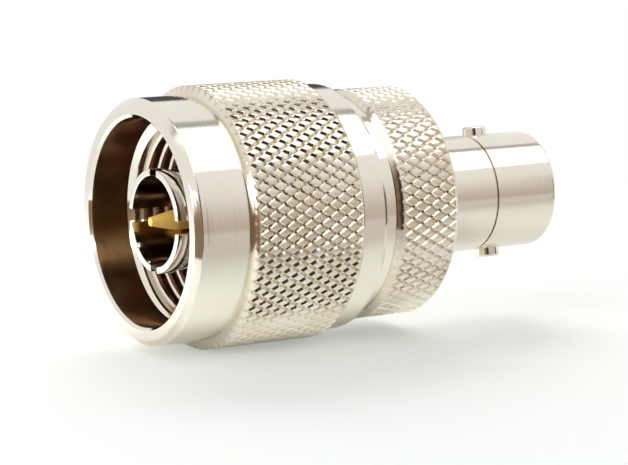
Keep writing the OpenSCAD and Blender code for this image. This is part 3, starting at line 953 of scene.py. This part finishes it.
class ADAPTER_OT_inner_pieces(bpy.types.Operator):
    """Gasket behind the thread, front body and retaining ring"""

    bl_idname = "adapter.inner_pieces"
    bl_label = "Inner Pieces"

    def execute(self, context):
        front, back, hole, outer = GASKET_LOW.x, GASKET_HIGH.x, 4.04 * MM, GASKET_HIGH.z
        middle, middle_seam = (hole + outer) / 2, 0.1 * MM
        front_round, back_round = mm(0.35, 0.2)
        gasket = [
            (front, middle), (front, outer, front_round), (back, outer, back_round),
            (back, hole, back_round), (front, hole, front_round), (front, middle - middle_seam),
        ]
        turned_piece("plug_gasket", "seal_rubber", "front_gasket", 160, gasket)
        dress("front_body", "nickel_brass")
        dress("nut_retaining_ring", "spring_bronze")
        return {"FINISHED"}


# ---- stage

WHITE, BLACK = (1.0, 1.0, 1.0), (0.0, 0.0, 0.0)
AIM = (0.015, 0.0, 0.0)
# Lamps, by the names of their settings: place, size, and whether the metal mirrors it
LAMPS = {
    "softbox": ((0.099, 0.230, 0.191), 0.24, False),
    "side_light": ((-0.203, -0.019, 0.219), 0.3, False),
    "fill": ((-0.26, -0.06, 0.05), 0.08, True),
}
LAMP_TINT = (1.0, 0.985, 0.965)
# Paths in millimetres of the walls that the collars and the barrel reflect
TAUPE_WALL = ((12, -49), (26, -46), (51, -37), (80, -28))
BROWN_WALL = ((61, -33), (68, -31), (76, -28.5))
# Corners of the light panel overhead and of the grey strip beside it
PANEL = ((-0.25, -0.41), (0.50, -0.035), (0.50, 0.044), (-0.25, 0.044))
PANEL_SEAM = ((-0.25, 0.044), (0.50, 0.044), (0.50, 0.090), (-0.25, 0.090))


def reflected_card(name, columns, stops, soft, fade=1.0, strength=1.0):
    """A card that only reflections show, on columns of a foot and a top point.

    stops are colours along the columns, soft the shares that fade out at the foot, top, start and
    end, and fade a power for the top.
    """
    mesh = bpy.data.meshes.new(name)
    bm = bmesh.new()
    along_layer, up_layer = bm.verts.layers.float.new("along"), bm.verts.layers.float.new("up")
    made = []
    for i, column in enumerate(columns):
        made.append([bm.verts.new(point) for point in column])
        for k, vert in enumerate(made[-1]):
            vert[along_layer], vert[up_layer] = i / (len(columns) - 1), float(k)
    for before, after in zip(made, made[1:]):
        bm.faces.new((before[0], after[0], after[1], before[1]))
    bm.to_mesh(mesh)
    bm.free()
    card = add_object(name, mesh)
    material, sheet = new_material(name)
    mesh.materials.append(material)
    along, up = sheet.attribute("along"), sheet.attribute("up")
    ramp = {"stops": [(at, opaque(stop)) for at, stop in stops]}
    tint = sheet.add("ShaderNodeValToRGB", ramp, {"Fac": along})
    foot, top, start, end = soft
    cover = (
        sheet.between(up, 0.0, foot)
        * sheet.between(up, 1.0, 1.0 - top) ** fade
        * sheet.between(along, 0.0, start)
        * sheet.between(along, 1.0, 1.0 - end)
    )
    clear = sheet.add("ShaderNodeBsdfTransparent")
    sheet.show(sheet.mix(cover, clear, sheet.glow(tint, strength)))
    card.visible_camera = card.visible_diffuse = card.visible_transmission = False
    card.visible_shadow = card.visible_volume_scatter = False


def even(tint):
    """Stops of one colour."""
    return ((0.0, tint), (1.0, tint))


def level(corners, height):
    """Columns of a level card on four corners."""
    a, b, c, d = [(x, y, height) for x, y in corners]
    return [(a, d), (b, c)]


def fall(s, start, end, drop):
    """How far a wall's top has come down at s, on its way from start to end."""
    return drop * min(1.0, max(0.0, (s - start) / (end - start)))


def wall_path(yaw):
    """Points of the dark wall across the view, and its top, which comes down towards both ends."""
    distance, start, end, steps, top = 0.026, -0.100, 0.0355, 60, 0.046
    left_fall, right_fall = (0.012, 0.0, 0.032), (0.030, 0.035, 0.030)
    away = Vector((-math.sin(yaw), -math.cos(yaw)))
    along = Vector((-away.y, away.x))
    made = []
    for i in range(steps + 1):
        s = start + (end - start) * i / steps
        place = away * distance + along * s
        made.append((*place, top - fall(s, *left_fall) - fall(s, *right_fall)))
    return made


def back_path():
    """Points of the strip behind, on part of an ellipse, with the height of its top."""
    across, deep, start, end, steps, top = 0.080, 0.064, 46.0, 82.0, 30, 0.043
    turns = [math.radians(start + (end - start) * i / steps) for i in range(steps + 1)]
    return [(AIM[0] + across * math.cos(t), AIM[1] + deep * math.sin(t), top) for t in turns]


class ADAPTER_OT_stage(bpy.types.Operator):
    """Floor, light, reflected room and camera"""

    bl_idname = "adapter.stage"
    bl_label = "Stage"

    def execute(self, context):
        scene, stage = context.scene, context.scene.adapter.stage
        ground = NUT_LOW.z
        self.floor(stage, ground)
        self.world(scene, stage)
        for name, (place, size, mirrored) in LAMPS.items():
            self.lamp(name, place, size, getattr(stage, name), mirrored)
        self.room(stage, ground)
        self.camera(scene, stage)
        scene.view_settings.view_transform = "Standard"
        return {"FINISHED"}

    def room(self, stage, ground):
        left, front, back = stage.room_left, stage.room_front, stage.room_back
        brown, pale, panel_tint = scaled(left, 0.35), (0.72, 0.68, 0.68), (1.0, 0.99, 0.98)
        taupe_top, taupe_fade, brown_top, panel_height, seam_height = 0.05, 2.6, 0.021, 0.25, 0.251

        def stand(name, path, stops, soft, fade=1.0):
            columns = [((x, y, ground), (x, y, top)) for x, y, top in path]
            reflected_card(name, columns, stops, soft, fade)

        dark = ((0.0, left), (0.827, left), (0.871, front), (1.0, front))
        stand("room_dark", wall_path(stage.camera_yaw), dark, (0.03, 0.5, 0.15, 0.025))
        path = [(x * MM, y * MM, taupe_top) for x, y in TAUPE_WALL]
        stand("room_taupe", path, even(stage.room_right), (0.16, 0.92, 0.06, 0.15), taupe_fade)
        path = [(x * MM, y * MM, brown_top) for x, y in BROWN_WALL]
        stand("room_brown", path, even(brown), (0.02, 0.4, 0.1, 0.2))
        behind = ((0.0, pale), (0.33, pale), (0.42, back), (1.0, back))
        stand("room_back", back_path(), behind, (0.01, 0.08, 0.15, 0.12))
        panel, seam = level(PANEL, panel_height), level(PANEL_SEAM, seam_height)
        soft = (0.04, 0.02, 0.1, 0.1)
        reflected_card("light_panel", panel, even(panel_tint), soft, strength=stage.panel)
        reflected_card("panel_seam", seam, even(scaled(panel_tint, 0.5)), (0.05, 0.3, 0.1, 0.1))

    def floor(self, stage, ground):
        under_front, under_back, under_end = (-0.0075, -0.003), (0.012, 0.006), (0.026, 0.021)
        near_front, near_end, under_shade, glow_rest = (-0.029, -0.008), (0.022, 0.034), 0.75, 0.2
        warm_reflection, warm_front, warm_share = (0.55, 0.45, 0.36), (-0.018, -0.032), 0.4
        half_size, far_centre, far_radii = 1.5, 0.018, (0.045, 0.11)
        mesh = bpy.data.meshes.new("floor")
        bm = bmesh.new()
        bmesh.ops.create_grid(bm, x_segments=8, y_segments=8, size=half_size)
        bm.to_mesh(mesh)
        bm.free()
        floor = add_object("floor", mesh)
        floor.location = (0.0, 0.0, ground)
        material, sheet = new_material("pale_floor")
        mesh.materials.append(material)
        camera, glossy, through = sheet.rays()
        _, (x, y, _) = sheet.place()
        # Painted shadow: under the nut, the glow that the metal mirrors is cut back.
        contact_shadow = sheet.between(y, *under_front) * sheet.between(y, *under_back)
        contact_shadow = contact_shadow * sheet.between(x, *under_end)
        # Painted light: a glow on the floor round the nut, fading out 8 to 29 mm in front and
        # weaker from the barrel back, that only reflections show.
        glow_patch = sheet.between(y, *near_front) * (1.0 - contact_shadow * under_shade)
        glow_patch = glow_patch * sheet.between(x, *near_end, 1.0, glow_rest)
        shaded = sheet.blend(camera, stage.floor, scaled(stage.floor, stage.paper))
        paper = sheet.add("ShaderNodeBsdfDiffuse", sockets={"Color": shaded})
        seen = sheet.blend(glossy, stage.glow, sheet.blend(glow_patch, BLACK, stage.mirrored_glow))
        light = sheet.glow(sheet.blend(camera + through + glossy, BLACK, seen))
        lit = sheet.add("ShaderNodeAddShader", sockets={0: paper, 1: light})
        # Painted reflection: further in front, reflections see the floor mixed with a warm brown
        # glow.
        front = glossy * sheet.between(y, *warm_front) * warm_share
        lit = sheet.mix(front, lit, sheet.glow(warm_reflection))
        aside = x - far_centre
        far = sheet.between((aside * aside + y * y) ** 0.5, *far_radii)
        sheet.show(sheet.mix(far * (camera + glossy), lit, sheet.glow(WHITE)))

    def world(self, scene, stage):
        world = bpy.data.worlds.new("white_room")
        world.use_nodes = True
        scene.world = world
        sheet = Sheet(world.node_tree)
        camera, glossy, through = sheet.rays()
        tint = opaque(WHITE)
        dim, white = (
            sheet.add("ShaderNodeBackground", sockets={"Color": tint, "Strength": strength})
            for strength in (stage.ambient, 1.0)
        )
        sheet.show(sheet.mix(camera + glossy + through, dim, white), "ShaderNodeOutputWorld")

    def lamp(self, name, place, size, energy, mirrored):
        data = bpy.data.lights.new(name, "AREA")
        data.shape, data.size = "SQUARE", size
        data.energy, data.color = energy, LAMP_TINT
        lamp = add_object(name, data)
        lamp.location, lamp.visible_glossy = place, mirrored
        aim = Vector(AIM) - Vector(place)
        lamp.rotation_euler = aim.to_track_quat("-Z", "Y").to_euler()

    def camera(self, scene, stage):
        sensor_width, photo_width = 36.0, 628
        data = bpy.data.cameras.new("camera")
        data.sensor_width = sensor_width
        data.lens = stage.focal_pixels * sensor_width / photo_width
        data.clip_start, data.clip_end = 0.005, 10.0
        camera = add_object("camera", data)
        camera.location = stage.camera_place
        camera.rotation_euler = Euler((math.pi / 2 + stage.camera_pitch, 0.0, -stage.camera_yaw))
        scene.camera = camera


# ---- panel and registration

OPERATORS = (
    ADAPTER_OT_coupling_nut,
    ADAPTER_OT_jack_body,
    ADAPTER_OT_bayonet_lugs,
    ADAPTER_OT_outer_contact,
    ADAPTER_OT_centre_contacts,
    ADAPTER_OT_insulators,
    ADAPTER_OT_inner_pieces,
    ADAPTER_OT_stage,
)


class ADAPTER_PT_panel(bpy.types.Panel):
    """Lists the adapter's pieces and settings"""

    bl_idname = "ADAPTER_PT_panel"
    bl_label = "Coaxial Adapter"
    bl_space_type = "VIEW_3D"
    bl_region_type = "UI"
    bl_category = "Adapter"

    def draw(self, context):
        for operator in OPERATORS:
            self.layout.operator(operator.bl_idname)
        for group in ("nut", "jack", "finish", "stage"):
            settings = getattr(context.scene.adapter, group)
            box = self.layout.box()
            box.label(text=group.capitalize())
            for name in settings.__annotations__:
                box.prop(settings, name)


CLASSES = (
    AdapterNutSettings,
    AdapterJackSettings,
    AdapterFinishSettings,
    AdapterStageSettings,
    AdapterSettings,
    *OPERATORS,
    ADAPTER_PT_panel,
)


def register():
    for cls in CLASSES:
        bpy.utils.register_class(cls)
    bpy.types.Scene.adapter = PointerProperty(type=AdapterSettings)


def unregister():
    del bpy.types.Scene.adapter
    for cls in reversed(CLASSES):
        bpy.utils.unregister_class(cls)


def main():
    register()
    bpy.ops.adapter.coupling_nut()
    bpy.ops.adapter.jack_body()
    bpy.ops.adapter.bayonet_lugs()
    bpy.ops.adapter.outer_contact()
    bpy.ops.adapter.centre_contacts()
    bpy.ops.adapter.insulators()
    bpy.ops.adapter.inner_pieces()
    bpy.ops.adapter.stage()


if __name__ == "__main__":
    main()
